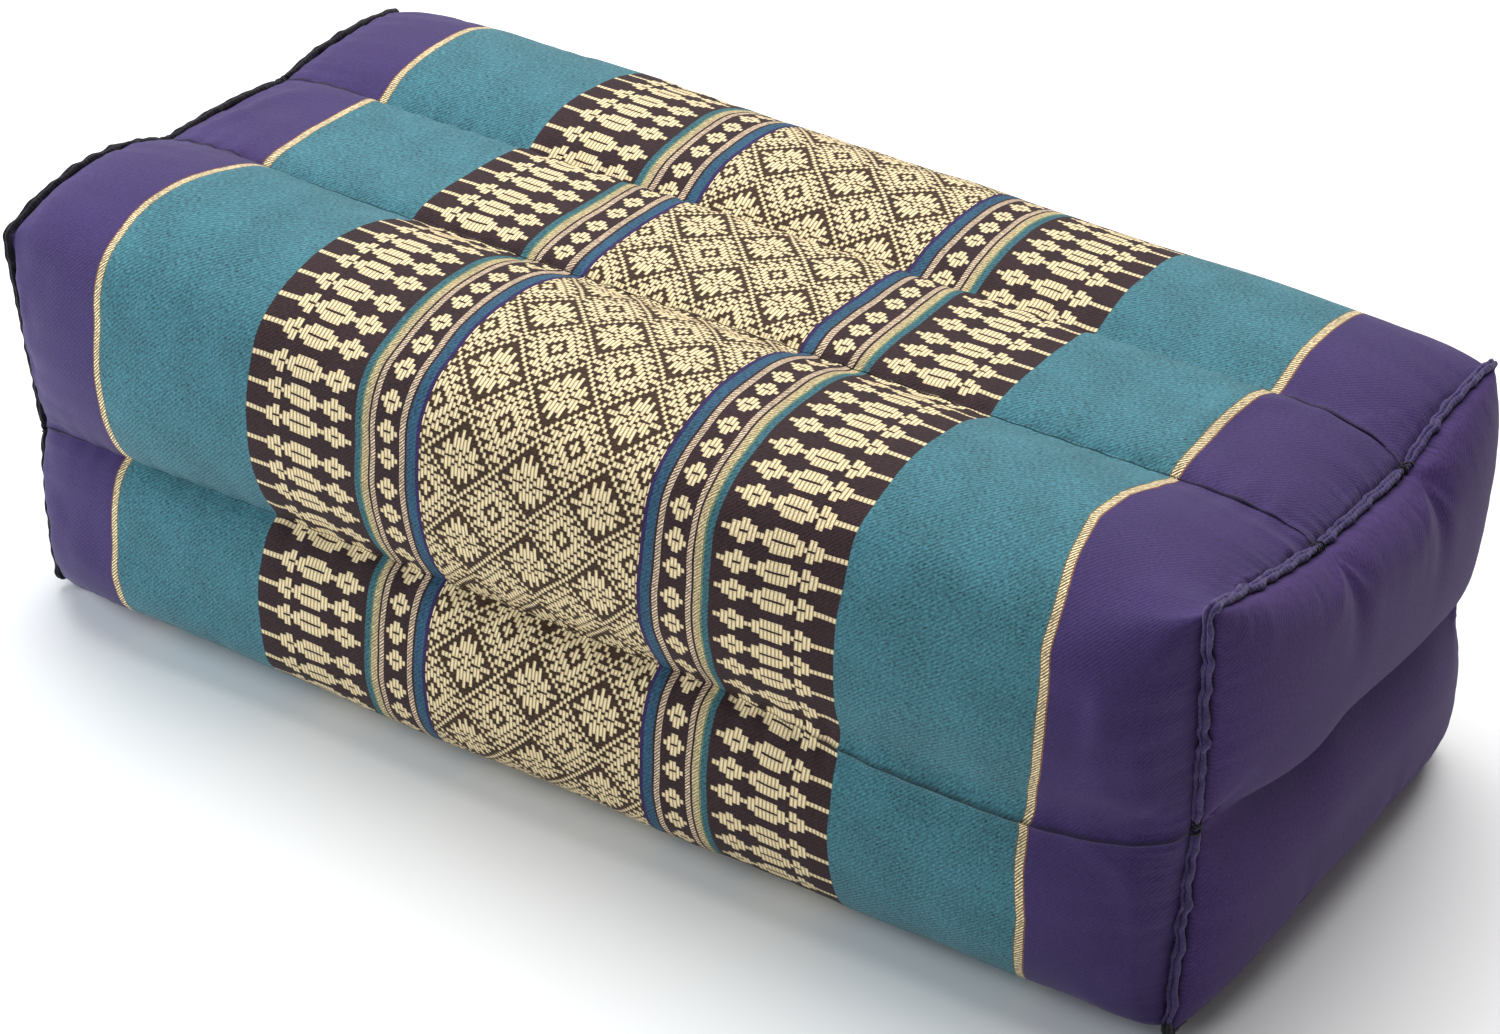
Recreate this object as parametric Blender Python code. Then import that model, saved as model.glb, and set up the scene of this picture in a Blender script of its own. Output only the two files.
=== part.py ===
"""Meditation cushion: a block of six stuffed tubes, closed by a sewn panel at each end.

X runs along the cushion, -Y is its long front side and Z is up. The origin is on the
surface that it lies on, under its middle. Lengths in the tables are millimetres.
"""
import math

import bmesh
import bpy
from mathutils import Vector

MM = 0.001

# Driving sizes
SEAM_TO_SEAM = 350 * MM
TAPER_LENGTH = 55 * MM
TAPER_SQUARE = 2.3
GAP = 0.4 * MM

# The end panels, which swell out in two rolls over one level fold
PANEL_THICKNESS = 1.5 * MM
UPPER_BULGE, LOWER_BULGE = 14 * MM, 13 * MM
FOLD_DEPTH = 10 * MM
FOLD_OVERHANG = 8 * MM
PANEL_SQUARE, ROLL_SQUARE = 3.2, 2.6
PINCH_DEPTH = 3.5 * MM
PINCH_WIDTH = 9 * MM
PINCH_LENGTH = 22 * MM

# The raised seam allowance round each end
RIDGE_RADIUS = 1.9 * MM
WRAP_INSET = 2.0 * MM
WRAP_END = SEAM_TO_SEAM / 2 - 3.2 * MM
PANEL_INSET = 2.8 * MM
KNOT_SWELL = 1.15

# Faces along and around
TAPER_RINGS = 10
MIDDLE_RINGS = 6
SIDE_STEPS = 8
OUTER_STEPS = 8
MIDDLE_STEPS = 6

# Each tube of stuffing, in the order that the outline meets them from the front bottom
# edge: its middle (y, z), its radius across, and its radius up at the left and the right.
# Its round is squarer towards the top and bottom of the block than towards mid-height. The
# lower tubes reach 2 mm below the surface that they lie on, where they are pressed flat.
TUBES = {
    "front_bottom": ((-54.5, 38), 40.5, (40, 40)),
    "front_top": ((-56, 88), 41, (41.5, 40)),
    "middle_top": ((0.5, 84), 60, (41.5, 41.5)),
    "back_top": ((56, 88), 41, (43.5, 37.5)),
    "back_bottom": ((54.5, 38), 40.5, (40, 40)),
    "middle_bottom": ((0, 40), 60, (42, 42)),
}
ROUND, SQUARER = 2.0, 2.4

# The points that all cross sections share: six sewn creases and the four edges of the
# block. Each has its place (y, z) mid-length, where an edge is only the tube's own round
# and has none, and its places on the left and right end seams, which are uneven.
JOINS = {
    "front_bottom_edge": (None, (-77, 3), (-77, 4)),
    "front_crease": ((-84, 58.5), (-78.5, 53), (-74, 63)),
    "front_top_edge": (None, (-87.5, 115), (-80.5, 126.5)),
    "top_front_crease": ((-25, 119.5), (-23, 117.5), (-23, 113)),
    "top_back_crease": ((25.5, 119), (27, 117), (26, 110.5)),
    "back_top_edge": (None, (81, 120), (79, 117)),
    "back_crease": ((84, 59.5), (77, 60), (76, 51)),
    "back_bottom_edge": (None, (78, 6), (78, 5)),
    "bottom_back_crease": ((25, 6), (25, 9), (25, 9)),
    "bottom_front_crease": ((-25, 6), (-25, 9), (-25, 9)),
}

# From each join to the next: the tube between them, the number of faces, and how far the
# left and the right end seam bow out between the two
RUNS = [
    ("front_bottom_edge", "front_crease", "front_bottom", SIDE_STEPS, 1.5, 0),
    ("front_crease", "front_top_edge", "front_top", SIDE_STEPS, 0, -1),
    ("front_top_edge", "top_front_crease", "front_top", OUTER_STEPS, 3.5, -1),
    ("top_front_crease", "top_back_crease", "middle_top", MIDDLE_STEPS, 1.5, 0),
    ("top_back_crease", "back_top_edge", "back_top", OUTER_STEPS, 3, 3),
    ("back_top_edge", "back_crease", "back_top", SIDE_STEPS, 0, 0),
    ("back_crease", "back_bottom_edge", "back_bottom", SIDE_STEPS, 0, 0),
    ("back_bottom_edge", "bottom_back_crease", "back_bottom", OUTER_STEPS, 1, 1),
    ("bottom_back_crease", "bottom_front_crease", "middle_bottom", MIDDLE_STEPS, 0, 0),
    ("bottom_front_crease", "front_bottom_edge", "front_bottom", OUTER_STEPS, 1, 1),
]
ACROSS = 2 * OUTER_STEPS + MIDDLE_STEPS
UP = 2 * SIDE_STEPS

# The column of JOINS that each end takes its seam from
LEFT, RIGHT = 1, 2

# Each cloth's colour and roughness
COLOURS = {
    "wrap_cloth": ((0.075, 0.230, 0.260), 0.85),
    "end_cloth": ((0.080, 0.062, 0.180), 0.88),
    "edging_thread": ((0.016, 0.014, 0.036), 0.9),
}


def clear_scene():
    for old in list(bpy.data.objects):
        bpy.data.objects.remove(old, do_unlink=True)


def material(name):
    """A plain cloth material of the given name."""
    colour, roughness = COLOURS[name]
    made = bpy.data.materials.new(name)
    made.use_nodes = True
    shader = made.node_tree.nodes["Principled BSDF"]
    shader.inputs["Base Color"].default_value = (*colour, 1)
    shader.inputs["Roughness"].default_value = roughness
    shader.inputs["Metallic"].default_value = 0
    return made


def tube_shape(tube, x):
    """A tube's middle (y, z) and its radii across and up, at one place along it."""
    middle, across, (left, right) = TUBES[tube]
    return middle, across, left + (right - left) * (x / SEAM_TO_SEAM + 0.5)


def tube_angle(join, tube, x):
    """The direction in which a tube's middle sees a join, on a circle of its shape."""
    (y0, z0), across, up = tube_shape(tube, x)
    if JOINS[join][0]:
        y, z = JOINS[join][0]
        return math.atan2((z - z0) / up, (y - y0) / across)
    side = -1 if join.startswith("front") else 1
    height = -1 if "bottom" in join else 1
    return math.atan2(height, side)


def tube_point(tube, angle, x):
    """The point of a tube's round in one direction, as (y, z)."""
    (y0, z0), across, up = tube_shape(tube, x)
    outwards = math.sin(angle) * (-1 if "bottom" in tube else 1)
    power = SQUARER if outwards > 0 else ROUND
    reach = (abs(math.cos(angle)) ** power + abs(math.sin(angle)) ** power) ** (-1 / power)
    return (y0 + across * reach * math.cos(angle), z0 + up * reach * math.sin(angle))


def full_outline(x):
    """The cross section of the filled-out tubes at x, as (y, z) in metres."""
    points = []
    for start, stop, tube, steps, *_ in RUNS:
        first, last = tube_angle(start, tube, x), tube_angle(stop, tube, x)
        if last > first:
            last -= 2 * math.pi
        run = [tube_point(tube, first + (last - first) * k / steps, x) for k in range(steps)]
        run[0] = JOINS[start][0] or run[0]
        points += run
    return [Vector(point) * MM for point in points]


def seam_run(start, stop, steps, bow, end):
    """One run of an end seam, where the cloth is pulled nearly straight, as (y, z)."""
    first, last = Vector(JOINS[start][end]), Vector(JOINS[stop][end])
    along = (last - first).normalized()
    outward = Vector((-along.y, along.x))
    shares = [k / steps for k in range(steps)]
    return [first.lerp(last, t) + outward * bow * 4 * t * (1 - t) for t in shares]


def seam_outline(end, inset=0):
    """The line of an end seam, or one a little inside it, as (y, z) in metres."""
    line = []
    for start, stop, _, steps, *bows in RUNS:
        line += seam_run(start, stop, steps, bows[end - 1], end)
    line = [point * MM for point in line]
    moved = []
    for k, here in enumerate(line):
        before, after = here - line[k - 1], line[(k + 1) % len(line)] - here
        inward = [Vector((side.y, -side.x)).normalized() for side in (before, after)]
        moved.append(here + (inward[0] + inward[1]) * inset / (1 + inward[0].dot(inward[1])))
    return moved


def swell(x):
    """How far the tubes have filled out, from 0 at the end of the wrap to 1."""
    past = max(0.0, abs(x) - WRAP_END + TAPER_LENGTH) / TAPER_LENGTH
    return max(0.0, 1 - past ** TAPER_SQUARE) ** (1 / TAPER_SQUARE)


def cross_section(x):
    """The outline at x as points in metres, flat where it meets the surface."""
    end = seam_outline(LEFT if x < 0 else RIGHT, WRAP_INSET)
    points = [a.lerp(b, swell(x)) for a, b in zip(end, full_outline(x))]
    return [Vector((x, y, max(0.0, z))) for y, z in points]


def ring_places():
    """Where the cross sections lie, closer together towards the end seams."""
    straight = WRAP_END - TAPER_LENGTH
    turns = [k / TAPER_RINGS * math.pi / 2 for k in range(TAPER_RINGS + 1)]
    right = [straight + TAPER_LENGTH * math.sin(turn) for turn in turns]
    between = [straight * (2 * k / MIDDLE_RINGS - 1) for k in range(1, MIDDLE_RINGS)]
    return [-x for x in reversed(right)] + between + right


def border():
    """The grid places round a panel's edge, in the order of the outline."""
    front = [(0, j) for j in range(UP)]
    top = [(i, UP) for i in range(ACROSS)]
    back = [(ACROSS, j) for j in range(UP, 0, -1)]
    bottom = [(i, 0) for i in range(ACROSS, 0, -1)]
    return front + top + back + bottom


def arch(t, fullness):
    """A rounded hump over 0 to 1, steep at its feet."""
    return math.sqrt(max(0.0, 1 - abs(2 * t - 1) ** fullness))


def panel_bulge(across, up, y, top_gap, end):
    """How far the outside of a panel stands beyond its seam."""
    inside = 0 < up < 1
    roll = arch(2 * up % 1, ROLL_SQUARE) if inside else 0
    bulge = UPPER_BULGE if up > 0.5 else LOWER_BULGE
    floor = 1 - FOLD_DEPTH / bulge if inside else 0
    height = bulge * arch(across, PANEL_SQUARE) * max(roll, floor)
    for crease in ("top_front_crease", "top_back_crease"):
        away = (y - JOINS[crease][end][0] * MM) / PINCH_WIDTH
        height -= PINCH_DEPTH * math.exp(-away ** 2 - top_gap / PINCH_LENGTH) * roll
    return height


def panel_surface(end):
    """The outside of an end panel, as a grid of points inside its seam."""
    edge = dict(zip(border(), seam_outline(end, PANEL_INSET)))
    corners = [edge[0, 0], edge[ACROSS, 0], edge[0, UP], edge[ACROSS, UP]]
    outward = -1 if end == LEFT else 1
    grid = {}
    for i in range(ACROSS + 1):
        for j in range(UP + 1):
            a, b = i / ACROSS, j / UP
            flat = (edge[0, j] * (1 - a) + edge[ACROSS, j] * a
                    + edge[i, 0] * (1 - b) + edge[i, UP] * b
                    - corners[0] * (1 - a) * (1 - b) - corners[1] * a * (1 - b)
                    - corners[2] * (1 - a) * b - corners[3] * a * b)
            y, z = flat
            if j > UP // 2:
                z -= FOLD_OVERHANG * arch(a, PANEL_SQUARE) * (2 - 2 * b) ** 3
            top_gap = edge[i, UP].y - z
            x = SEAM_TO_SEAM / 2 + panel_bulge(a, b, y, top_gap, end)
            grid[i, j] = Vector((outward * x, y, z))
    return grid


def surface_normals(grid, end):
    """The outward direction at each point of a panel's grid."""
    outward = -1 if end == LEFT else 1
    normals = {}
    for (i, j) in grid:
        along = grid[min(i + 1, ACROSS), j] - grid[max(i - 1, 0), j]
        rise = grid[i, min(j + 1, UP)] - grid[i, max(j - 1, 0)]
        normals[i, j] = outward * along.cross(rise).normalized()
    return normals


def behind(grid, normals, depth):
    """The same grid, moved inwards by a depth."""
    return {place: point - normals[place] * depth for place, point in grid.items()}


def add_grid(mesh, grid):
    """A sheet of faces over a grid, and its vertices by place."""
    made = {place: mesh.verts.new(point) for place, point in grid.items()}
    for i in range(ACROSS):
        for j in range(UP):
            mesh.faces.new([made[i, j], made[i + 1, j], made[i + 1, j + 1], made[i, j + 1]])
    return made


def join_rings(mesh, first, second):
    """Faces between two closed rows of vertices."""
    for k in range(len(first)):
        mesh.faces.new([first[k - 1], first[k], second[k], second[k - 1]])


def add_object(name, mesh, slot, collection):
    """A smooth-shaded object from a finished bmesh."""
    bmesh.ops.recalc_face_normals(mesh, faces=mesh.faces)
    data = bpy.data.meshes.new(name)
    mesh.to_mesh(data)
    mesh.free()
    data.shade_smooth()
    data.materials.append(slot)
    made = bpy.data.objects.new(name, data)
    collection.objects.link(made)
    return made


def build_body(collection, slot):
    """The filled wrap: a loft of the six tubes, with swelling ends under the panels."""
    mesh = bmesh.new()
    rings = [[mesh.verts.new(p) for p in cross_section(x)] for x in ring_places()]
    for first, second in zip(rings, rings[1:]):
        join_rings(mesh, first, second)
    for end, ring in ((LEFT, rings[0]), (RIGHT, rings[-1])):
        outside = panel_surface(end)
        normals = surface_normals(outside, end)
        cap = add_grid(mesh, behind(outside, normals, PANEL_THICKNESS + GAP))
        join_rings(mesh, ring, [cap[place] for place in border()])
    return add_object("cushion_body", mesh, slot, collection)


def build_panel(name, end, collection, slot):
    """One end panel: a sheet that follows the swelling end of the body."""
    mesh = bmesh.new()
    outside = panel_surface(end)
    inside = behind(outside, surface_normals(outside, end), PANEL_THICKNESS)
    outer, inner = add_grid(mesh, outside), add_grid(mesh, inside)
    join_rings(mesh, [outer[p] for p in border()], [inner[p] for p in border()])
    return add_object(name, mesh, slot, collection)


def build_ridge(name, end, collection, slot):
    """The raised seam allowance round one end, with a thicker knot at each crease."""
    outline = seam_outline(end)
    creases = [Vector(places[end]) * MM for places in JOINS.values() if places[0]]
    curve = bpy.data.curves.new(name, "CURVE")
    curve.dimensions = "3D"
    curve.bevel_depth = RIDGE_RADIUS
    curve.bevel_resolution = 1
    spline = curve.splines.new("POLY")
    spline.points.add(len(outline) - 1)
    spline.use_cyclic_u = True
    x = SEAM_TO_SEAM / 2 * (-1 if end == LEFT else 1)
    for point, here in zip(spline.points, outline):
        point.co = (x, *here, 1)
        if min((here - crease).length for crease in creases) < MM:
            point.radius = KNOT_SWELL
    made = bpy.data.objects.new(name, curve)
    curve.materials.append(slot)
    collection.objects.link(made)
    return made


def main():
    clear_scene()
    collection = bpy.data.collections.new("meditation_cushion")
    bpy.context.scene.collection.children.link(collection)
    wrap, panel, edging = (material(name) for name in COLOURS)
    build_body(collection, wrap)
    for side, end in (("left", LEFT), ("right", RIGHT)):
        build_panel(f"end_panel_{side}", end, collection, panel)
        build_ridge(f"end_seam_{side}", end, collection, edging)


main()
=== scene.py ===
import math

import bmesh
import bpy
import numpy as np
from mathutils import Matrix, Vector, noise


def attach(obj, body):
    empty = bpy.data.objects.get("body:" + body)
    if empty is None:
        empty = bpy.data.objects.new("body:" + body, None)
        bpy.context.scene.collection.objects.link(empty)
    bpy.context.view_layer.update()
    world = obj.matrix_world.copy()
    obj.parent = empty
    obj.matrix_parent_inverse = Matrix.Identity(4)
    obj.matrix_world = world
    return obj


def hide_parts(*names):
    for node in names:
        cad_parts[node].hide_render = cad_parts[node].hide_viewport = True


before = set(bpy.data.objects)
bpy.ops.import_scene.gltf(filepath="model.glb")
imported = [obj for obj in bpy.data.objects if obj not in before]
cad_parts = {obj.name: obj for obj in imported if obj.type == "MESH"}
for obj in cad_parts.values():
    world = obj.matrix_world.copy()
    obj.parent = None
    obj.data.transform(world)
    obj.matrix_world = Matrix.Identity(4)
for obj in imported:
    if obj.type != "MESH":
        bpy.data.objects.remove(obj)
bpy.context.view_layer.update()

MM = 0.001

# Driving sizes, as in the solids
SEAM_TO_SEAM = 350 * MM
TAPER_LENGTH = 55 * MM
TAPER_SQUARE = 2.3
WRAP_INSET = 0.7 * MM
WRAP_END = SEAM_TO_SEAM / 2 - 1.0 * MM
PANEL_INSET = 0.7 * MM
PANEL_THICKNESS = 1.5 * MM
UPPER_BULGE, LOWER_BULGE = 14 * MM, 13 * MM
FOLD_DEPTH = 12.6 * MM
FOLD_OVERHANG = 10 * MM
CREASE_REACH = 3.5
PANEL_SQUARE, ROLL_SQUARE, UNDER_LIP_SQUARE, LEFT_TOP_SQUARE = 3.2, 3.2, 1.7, 2.0
PINCH_DEPTH = 3.4 * MM
PINCH_WIDTH = 5.5 * MM
PINCH_LENGTH = 10 * MM

# Each tube of stuffing: its middle (y, z), its radius across, and its radius up at the left
# and the right
TUBES = {
    "front_bottom": ((-54.5, 38), 40.5, (40, 40)),
    "front_top": ((-56, 88), 41, (41.5, 40)),
    "middle_top": ((0.5, 84), 60, (41.5, 41.5)),
    "back_top": ((56, 88), 41, (43.5, 37.5)),
    "back_bottom": ((54.5, 38), 40.5, (40, 40)),
    "middle_bottom": ((0, 40), 60, (42, 42)),
}
ROUND, SQUARER = 2.0, 2.4

# The sewn creases and the edges of the block: the place (y, z) mid-length, where an edge has
# none, and the places on the left and right end seams
JOINS = {
    "front_bottom_edge": (None, (-77, 3), (-77, 4)),
    "front_crease": ((-84, 58.5), (-78.5, 53), (-74, 63)),
    "front_top_edge": (None, (-87.5, 115), (-80.5, 126.5)),
    "top_front_crease": ((-25, 119.5), (-23, 117.5), (-23, 113)),
    "top_back_crease": ((25.5, 119), (27, 117), (26, 110.5)),
    "back_top_edge": (None, (81, 120), (79, 117)),
    "back_crease": ((84, 59.5), (77, 60), (76, 51)),
    "back_bottom_edge": (None, (78, 6), (78, 5)),
    "bottom_back_crease": ((25, 6), (25, 9), (25, 9)),
    "bottom_front_crease": ((-25, 6), (-25, 9), (-25, 9)),
}

# From each join to the next: the tube between them, which way the run faces, and how far the
# left and the right end seam bow out between the two
RUNS = [
    ("front_bottom_edge", "front_crease", "front_bottom", "side", 1.5, 0),
    ("front_crease", "front_top_edge", "front_top", "side", 0, -1),
    ("front_top_edge", "top_front_crease", "front_top", "outer", 7.5, -1),
    ("top_front_crease", "top_back_crease", "middle_top", "middle", 1.5, 0),
    ("top_back_crease", "back_top_edge", "back_top", "outer", 3, 3),
    ("back_top_edge", "back_crease", "back_top", "side", 0, 0),
    ("back_crease", "back_bottom_edge", "back_bottom", "side", 0, 0),
    ("back_bottom_edge", "bottom_back_crease", "back_bottom", "outer", 1, 1),
    ("bottom_back_crease", "bottom_front_crease", "middle_bottom", "middle", 0, 0),
    ("bottom_front_crease", "front_bottom_edge", "front_bottom", "outer", 1, 1),
]
CREASES = [name for name, places in JOINS.items() if places[0]]

# The front crease is shallower towards the right end: how much, and where that starts and stops
SHALLOWER, SHALLOW_FROM, SHALLOW_TO = 6.5, 45, 105

# The upper front tube is higher towards the left end: how much, and where that starts and stops
HIGHER, HIGHER_FROM, HIGHER_TO = 3.0, 95, 135
LEFT, RIGHT = 1, 2
SIDES = {"left": LEFT, "right": RIGHT}
HANDS = {LEFT: -1, RIGHT: 1}

# Faces round and along the pieces, and how much closer the wrap's faces lie at a crease
WRAP_STEPS = {"side": 18, "outer": 18, "middle": 18}
WRAP_PACKING = 0.62
WRAP_TAPER_RINGS, WRAP_MIDDLE_RINGS = 24, 68
PANEL_STEPS = {"side": 56, "outer": 54, "middle": 54}

# How far the cloth is drawn along near each end, in millimetres, by its distance from the
# tube's first crease
DRAWN = {
    ("front_top", LEFT): [(0, 0), (50, 0.5), (80, 2), (98, -1), (110, -5), (125, -6)],
    ("front_top", RIGHT): [(0, -1), (17, -3.5), (45, -4.5), (66, -2), (80, 0.5), (95, 3),
                           (108, 2.5), (118, 0), (125, 0)],
    ("front_bottom", RIGHT): [(60, 0), (75, -1.5), (93, -3), (110, -1), (122, 0)],
}
DRAWN_FROM, DRAWN_TO = 92, 128

# The stuffing: how the cloth behaves while its inside presses on it, for how many frames, and how
# far a point moves at most, less near a crease
STUFFING = {
    "quality": 6,
    "mass": 0.3,
    "tension_stiffness": 15,
    "compression_stiffness": 15,
    "shear_stiffness": 5,
    "bending_stiffness": 0.5,
    "use_pressure": True,
    "uniform_pressure_force": 4,
    "shrink_min": -0.02,
}
STUFFING_FRAMES = 20
STUFFING_REACH, STUFFING_FADE, CREASE_SHARE = 1.2 * MM, 16 * MM, 0.12

# The wrap's small relief: gathers along the creases, deeper in the pattern, puckers at the end
# seams, lumps of the stuffing, the groove of the stitches, and creases deeper near the ends
GATHER_PITCH, GATHER_DEPTH, GATHER_MORE, GATHER_FADE = 9.2 * MM, 0.40 * MM, 0.35 * MM, 7.5 * MM
PATTERN_REACH = 88 * MM
PUCKER_DEPTH, PUCKER_FADE = 1.1 * MM, 14 * MM
LUMP_DEPTH, LUMP_SIZE = 0.9 * MM, 42 * MM
STITCH_DEPTH, STITCH_FADE = 1.6 * MM, 1.8 * MM
DEEPER, DEEPER_FADE, DEEPEST_AT, DEEPER_LENGTH = 1.6 * MM, 6.0 * MM, 20 * MM, 15 * MM

# A panel's small relief: folds from its seam, lumps, fine puckers, and rays from the knots
FOLD_RELIEF, LUMP_RELIEF, PUCKER_RELIEF, RAY_RELIEF = 0.6 * MM, 0.8 * MM, 0.5 * MM, 0.9 * MM

# The lip of the upper roll on the right end, as (share across, height)
RIGHT_LIP = [(0, 63), (0.07, 63), (0.19, 58.5), (0.29, 56), (0.38, 59), (0.47, 57.5), (0.61, 55),
             (0.79, 53), (0.93, 49.5), (1, 51)]
LEFT_LIP = [(0, 54), (0.2, 54), (0.5, 52), (0.8, 55), (1, 59)]

# Each end's rolled edges: how far apart the pair lies, its place beyond the end and outwards
# from the seam line, its half width and half height, and how far the pair wanders
EDGE_PAIRS = {
    "left": (0.35, 0.3, 0.1, 0.55, 1.0, 0.50),
    "right": (0.62, 0.0, 0.5, 0.66, 1.05, 0.85),
}
SEAM_STEP, STITCH_PITCH, STRAND_SIDES = 0.8 * MM, 8.3 * MM, 9
WINDINGS, WINDING_POINTS, WINDING_RADIUS = 5, 28, 0.30 * MM

# The woven pattern. One repeat round the girth is 22 rows, and is the same upside down. The
# pattern's place on each tube is how far past the tube's first crease a star row lies.
REPEAT = 24.6
ROWS = 22
STAR_COLUMN = 1.025
FIRST_STAR = {"front_bottom": 78.0, "front_top": 25.2, "middle_top": 14.0, "back_top": 3.7,
              "back_bottom": 11.0, "middle_bottom": 6.0}

# A quarter of one star and of the small diamond beside it, from the star's middle outwards.
# Each line is one row, and each letter one pick of the cream yarn: X floats on top.
STAR_CHART = [
    "XX...XXX..X",
    "X.XXX....X.",
    ".X.XXX..X..",
    "XXX.X..X.XX",
    "XXX...X...X",
    "X.X..X.XXX.",
    "X...X...X.X",
    "...X.XXX.XX",
    "..X...X.XX.",
    ".X.XXX.XX..",
    "X...X.XX..X",
    ".XXX.XX..XX",
]

# The lantern band and the band of small flowers, from the middle of the cloth outwards. Each
# letter is one pick: S short, M medium, T tall with a slit across it, and - none.
LANTERN_CHART = "-SSMMTTMMSSMMTTTTTTMMSTTMMSSSSSS"
FLOWER_CHART = "SMTTMS"
PICK_ROWS = {"-": (), "S": (0, 7), "M": (0, 1, 6, 7, 8), "T": (1, 2, 5, 6, 8, 9)}

# Where the bands start, outwards from the middle of the cloth
LANTERN_START, LANTERN_WIDTH = 53.2, 34.9
FLOWER_START, FLOWER_WIDTH = 39.6, 6.4
PANEL_END = 32.8

# Colours of the yarns, and the brown of the painted shade on the cream floats
CREAM = (0.97, 0.79, 0.46)
# Painted shade: the brown that each cream float darkens towards at its sides and its ends
CREAM_PAINTED_SHADE = (0.12, 0.07, 0.025)
PALE_PINK = (0.78, 0.60, 0.42)
GOLD = (0.62, 0.50, 0.27)
GREEN = (0.14, 0.19, 0.10)
AUBERGINE = (0.029, 0.012, 0.014)
UMBER = (0.044, 0.022, 0.011)
TEAL = (0.043, 0.152, 0.187)
TEAL_GREEN = (0.034, 0.115, 0.140)
BLUE = (0.024, 0.078, 0.135)
PURPLE = (0.042, 0.0225, 0.107)
VIOLET = (0.027, 0.013, 0.080)
LINE_GOLD = (0.17, 0.12, 0.05)
LINE_BROWN = (0.20, 0.085, 0.045)
LINE_GAP = (0.085, 0.050, 0.035)
END_PURPLE = (0.051, 0.026, 0.116)
EDGE_PURPLE = (0.052, 0.034, 0.125)
# EDGE_DARK is the dark thread of the left edging and the knots, and on the right edging also the painted
# shadow along its bottom
EDGE_DARK = (0.006, 0.006, 0.012)

# The plain stripes, each from its own distance to the middle of the cloth, and the lines woven
# as a twill of two yarns
TEAL_START, PURPLE_START = 88.1, 139.8
NEAR_STRIPES = [(31.0, UMBER), (32.8, VIOLET), (33.9, BLUE), (36.6, AUBERGINE), (37.2, PALE_PINK),
                (38.8, AUBERGINE), (46.6, PALE_PINK), (48.0, AUBERGINE), (48.7, GOLD),
                (50.6, GREEN), (51.2, TEAL_GREEN), (53.0, AUBERGINE)]
FAR_STRIPES = [(134, TEAL), (137.1, LINE_GOLD), (137.4, CREAM), (139.4, LINE_BROWN),
               (PURPLE_START, PURPLE)]
GOLD_LINE = (48.7, 50.6)
TWILL_LINES = [(37.2, 38.8), (46.6, 48.0), GOLD_LINE, (137.4, 139.4)]
TWILL_SLANT, TWILL_PITCH = 1.1, 0.95

# How far from a crease the cloth is darkened: painted shade of the crease groove, partly the dark of its
# stitching thread
CREASE_SHADE_REACH = 1.1 * MM

# The camera at the photograph's angle, in degrees, metres and millimetres of lens
CAMERA_TURN, CAMERA_RISE, CAMERA_ROLL = 31.9183, 31.3843, 2.1107
CAMERA_DISTANCE = 1.0082
CAMERA_TARGET = (0.0, 0.0070, 0.0441)
CAMERA_LENS, CAMERA_SENSOR = 89.397, 36.0


# The shape of the block

def ease(value, start, stop):
    """Goes smoothly from 0 at a start to 1 at a stop."""
    share = min(1.0, max(0.0, (value - start) / (stop - start)))
    return share * share * (3 - 2 * share)


def tube_shape(tube, x):
    """A tube's middle (y, z) and its radii across and up, at one place along it."""
    middle, across, (left, right) = TUBES[tube]
    up = left + (right - left) * (x / SEAM_TO_SEAM + 0.5)
    if tube == "front_top":
        up += HIGHER * ease(-x / MM, HIGHER_FROM, HIGHER_TO)
    return middle, across, up


def crease_place(join, x):
    """A crease's (y, z) at one place along the cushion."""
    y, z = JOINS[join][0]
    if join == "front_crease":
        y -= SHALLOWER * ease(x / MM, SHALLOW_FROM, SHALLOW_TO)
    return (y, z)


def tube_angle(join, tube, x):
    """The direction in which a tube's middle sees a join, on a circle of its shape."""
    (y0, z0), across, up = tube_shape(tube, x)
    if JOINS[join][0]:
        y, z = crease_place(join, x)
        return math.atan2((z - z0) / up, (y - y0) / across)
    side = -1 if join.startswith("front") else 1
    height = -1 if "bottom" in join else 1
    return math.atan2(height, side)


def tube_point(tube, angle, x):
    """The point of a tube's round in one direction, as (y, z)."""
    (y0, z0), across, up = tube_shape(tube, x)
    outwards = math.sin(angle) * (-1 if "bottom" in tube else 1)
    power = SQUARER if outwards > 0 else ROUND
    reach = (abs(math.cos(angle)) ** power + abs(math.sin(angle)) ** power) ** (-1 / power)
    return (y0 + across * reach * math.cos(angle), z0 + up * reach * math.sin(angle))


def shares(steps, start, stop, packing):
    """Steps from 0 to 1 along a run, closer together towards its creases."""
    even = np.arange(steps + 1) / steps
    if JOINS[start][0] and JOINS[stop][0]:
        return even - packing * np.sin(2 * math.pi * even) / (2 * math.pi)
    hand = 1 if JOINS[start][0] else -1
    return even - hand * packing * np.sin(math.pi * even) / math.pi


def full_outline(x):
    """The cross section of the filled-out tubes at x, as (y, z) in metres."""
    points = []
    for start, stop, tube, face, *_ in RUNS:
        first, last = tube_angle(start, tube, x), tube_angle(stop, tube, x)
        if last > first:
            last -= 2 * math.pi
        angles = first + (last - first) * shares(WRAP_STEPS[face], start, stop, WRAP_PACKING)
        run = np.array([tube_point(tube, angle, x) for angle in angles])
        so_far = arc_lengths(run)
        for join, place, gap in ((start, 0, so_far), (stop, -1, so_far[-1] - so_far)):
            if JOINS[join][0]:
                pull = np.array(crease_place(join, x)) - run[place]
                run = run + pull * np.exp(-gap / CREASE_REACH)[:, None]
        if JOINS[start][0]:
            run[0] = crease_place(start, x)
        points.append(run[:-1])
    return np.vstack(points) * MM


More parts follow.
